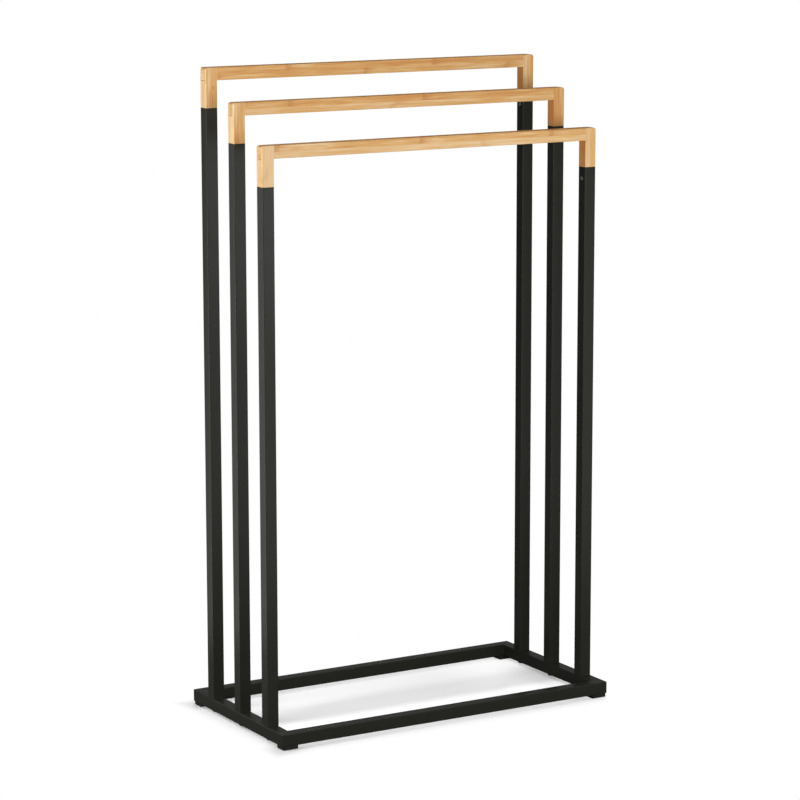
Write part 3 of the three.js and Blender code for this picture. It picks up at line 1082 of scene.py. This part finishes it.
class RACK_OT_post_inserts(bpy.types.Operator):
    """Zinc plating on the threaded inserts inside the posts"""

    bl_idname = "rack.post_inserts"
    bl_label = "Post inserts"

    def execute(self, context):
        for level, side in POSTS:
            insert = bpy.data.objects[f"post_insert_{level}_{side}"]
            for slot in insert.material_slots:
                slot.material = material_named("bright zinc")
        return {"FINISHED"}


class RACK_OT_stage(bpy.types.Operator):
    """Pale floor, soft studio light and the camera"""

    bl_idname = "rack.stage"
    bl_label = "Stage"

    def execute(self, context):
        scene = context.scene
        scene.view_settings.view_transform = "Standard"
        self.lay_floor(scene.rack_finishes)
        self.light_room(scene)
        self.hang_lamps()
        self.place_camera(scene)
        return {"FINISHED"}

    def lay_floor(self, finishes):
        bpy.ops.object.select_all(action="DESELECT")
        bpy.ops.mesh.primitive_plane_add(size=60, location=(0, 0, 0))
        floor = bpy.context.active_object
        floor.name = "floor"
        settle(floor)
        paint = bpy.data.materials.new("pale floor")
        paint.use_nodes = True
        tree = paint.node_tree
        tree.nodes.clear()
        seen = node(tree, "LightPath").outputs["Is Camera Ray"]
        # the floor throws less light back at the rack than the camera sees on it
        tone = blend(seen, opaque([0.14] * 3), opaque(finishes.floor))
        matt = output("BsdfDiffuse", {"Color": tone})

        x, y, _ = apart(node(tree, "TexCoord").outputs["Object"])
        half_wide, half_deep, _ = cad_box[1]
        past_side = minus(size_of(x), half_wide)
        past_end = minus(size_of(y), half_deep)
        past_base = calc("MAXIMUM", past_side, past_end)
        glow = times(seen, self.floor_glow(x, y, past_base, half_wide))
        glow = output("Emission", {"Strength": glow})
        shaded = output("AddShader", {0: matt, 1: glow})

        # a little way out from the base the camera sees plain white
        white = node(tree, "Emission").outputs[0]
        faded = times(seen, ramp(past_base, 0.002, 0.024))
        mix = output("MixShader", {0: faded, 1: shaded, 2: white})
        node(tree, "OutputMaterial", {"Surface": mix})
        floor.data.materials.append(paint)

    @staticmethod
    def floor_glow(x, y, past_base, half_wide):
        """Painted light that the camera sees on the floor, to thin the shade under the rack:
        outside the base, and between its rails most at the front, the back and the right. Less of
        it at the left end's corners leaves a painted shade there."""
        corners = ramp(size_of(y), 0.08, 0.115)
        # near the left end's corners the painted light is less, which leaves a painted shade there
        left_end = times(ramp(x, -half_wide, -0.19, 0.28, 0.0), corners)
        outside = minus(ramp(x, -half_wide, 0.0, 0.22, 0.33), left_end)
        at_front = ramp(y, -0.04, -0.005, 0.36, 0.03)
        at_back = ramp(y, 0.025, 0.08, 0.0, 0.35)
        at_right = ramp(x, 0.08, 0.20, 0.0, 0.15)
        between = plus(plus(at_front, at_back), at_right)
        # one gives way to the other under the rails
        rail = 0.015
        outside = times(outside, ramp(past_base, -rail, 0.0))
        between = times(between, ramp(past_base, -rail, 0.0, 1.0, 0.0))
        return plus(outside, between)

    @staticmethod
    def light_room(scene):
        """Surroundings that are white to the camera, dim in reflections, and cast no light."""
        world = bpy.data.worlds.new("studio")
        world.use_nodes = True
        scene.world = world
        tree = world.node_tree
        tree.nodes.clear()
        rays = node(tree, "LightPath").outputs
        reflected = times(rays["Is Glossy Ray"], 0.16)
        strength = plus(rays["Is Camera Ray"], reflected)
        air = output("Background", {"Color": (1, 1, 1, 1), "Strength": strength})
        node(tree, "OutputWorld", {"Surface": air})

    def hang_lamps(self):
        """Lamps for the whole rack, and cards close to it that the steel reflects."""
        # name, place, target, width and height, power, and whether reflections show it
        lamps = (
            ("overhead lamp", (0, -0.2, 2.2), (0, 0, 0.2), (1.5, 1.5), 10, True),
            ("front lamp", (-0.45, -2.35, 0.7), (0, 0, 0.45), (2.0, 0.9), 50, False),
            ("back lamp", (1.3, 2.0, 0.7), (0, 0, 0.45), (1.8, 0.9), 60, False),
            ("front card", (0.25, -0.68, 0.33), (0.25, 0, 0.33), (1.0, 0.66), 1.5, True),
            ("upper card", (0.17, -0.70, 0.55), (0.17, 0, 0.55), (0.36, 0.26), 0.35, True),
            ("left lamp", (-0.6, 0, 0.45), (-0.22, 0, 0.45), (0.2, 0.9), 3, True),
            ("left card", (-0.454, 0.265, 0.40), (-0.254, -0.005, 0.40), (0.22, 0.78), 0.39, True))
        for lamp in lamps:
            self.hang_lamp(*lamp)
        # this card hangs a little askew
        bpy.data.objects["left card"].rotation_euler.rotate_axis("Z", math.radians(-3))

    @staticmethod
    def hang_lamp(name, place, target, size, power, glossy):
        data = bpy.data.lights.new(name, "AREA")
        data.shape = "RECTANGLE"
        data.size, data.size_y = size
        data.energy = power
        lamp = bpy.data.objects.new(name, data)
        bpy.context.scene.collection.objects.link(lamp)
        lamp.location = place
        lamp.visible_camera = False
        lamp.visible_glossy = glossy
        towards = Vector(target) - Vector(place)
        lamp.rotation_euler = towards.to_track_quat("-Z", "Y").to_euler()

    @staticmethod
    def place_camera(scene):
        azimuth, elevation, roll = (math.radians(angle) for angle in (-30.43, 10.249, -0.073))
        target = Vector((-0.0019, -0.0015, 0.3806))
        distance = 3.7128
        level = math.cos(elevation)
        away = Vector((
            math.sin(azimuth) * level, -math.cos(azimuth) * level, math.sin(elevation)))
        data = bpy.data.cameras.new("camera")
        data.lens = 136.65
        data.clip_end = 200
        camera = bpy.data.objects.new("camera", data)
        scene.collection.objects.link(camera)
        camera.location = target + away * distance
        camera.rotation_euler = (-away).to_track_quat("-Z", "Y").to_euler()
        camera.rotation_euler.rotate_axis("Z", roll)
        scene.camera = camera


# -------- add-on

OPERATORS = (
    RACK_OT_base_frame, RACK_OT_posts, RACK_OT_bamboo_arches, RACK_OT_bolts,
    RACK_OT_spigot_screws, RACK_OT_feet, RACK_OT_post_inserts, RACK_OT_stage)


class RACK_PT_panel(bpy.types.Panel):
    """Lists the rack's settings and its pieces"""

    bl_idname = "RACK_PT_panel"
    bl_label = "Towel Rack"
    bl_space_type = "VIEW_3D"
    bl_region_type = "UI"
    bl_category = "Towel Rack"

    def draw(self, context):
        for group in (context.scene.rack_sizes, context.scene.rack_finishes):
            box = self.layout.box()
            for key in group.bl_rna.properties.keys():
                if key not in {"rna_type", "name"}:
                    box.prop(group, key)
        for operator in OPERATORS:
            self.layout.operator(operator.bl_idname)


CLASSES = (RackSizes, RackFinishes, *OPERATORS, RACK_PT_panel)


def register():
    for made in CLASSES:
        bpy.utils.register_class(made)
    bpy.types.Scene.rack_sizes = bpy.props.PointerProperty(type=RackSizes)
    bpy.types.Scene.rack_finishes = bpy.props.PointerProperty(type=RackFinishes)


def unregister():
    del bpy.types.Scene.rack_sizes
    del bpy.types.Scene.rack_finishes
    for made in reversed(CLASSES):
        bpy.utils.unregister_class(made)


def main():
    register()
    bpy.ops.rack.base_frame()
    bpy.ops.rack.posts()
    bpy.ops.rack.bamboo_arches()
    bpy.ops.rack.bolts()
    bpy.ops.rack.spigot_screws()
    bpy.ops.rack.feet()
    bpy.ops.rack.post_inserts()
    bpy.ops.rack.stage()


if __name__ == "__main__":
    main()
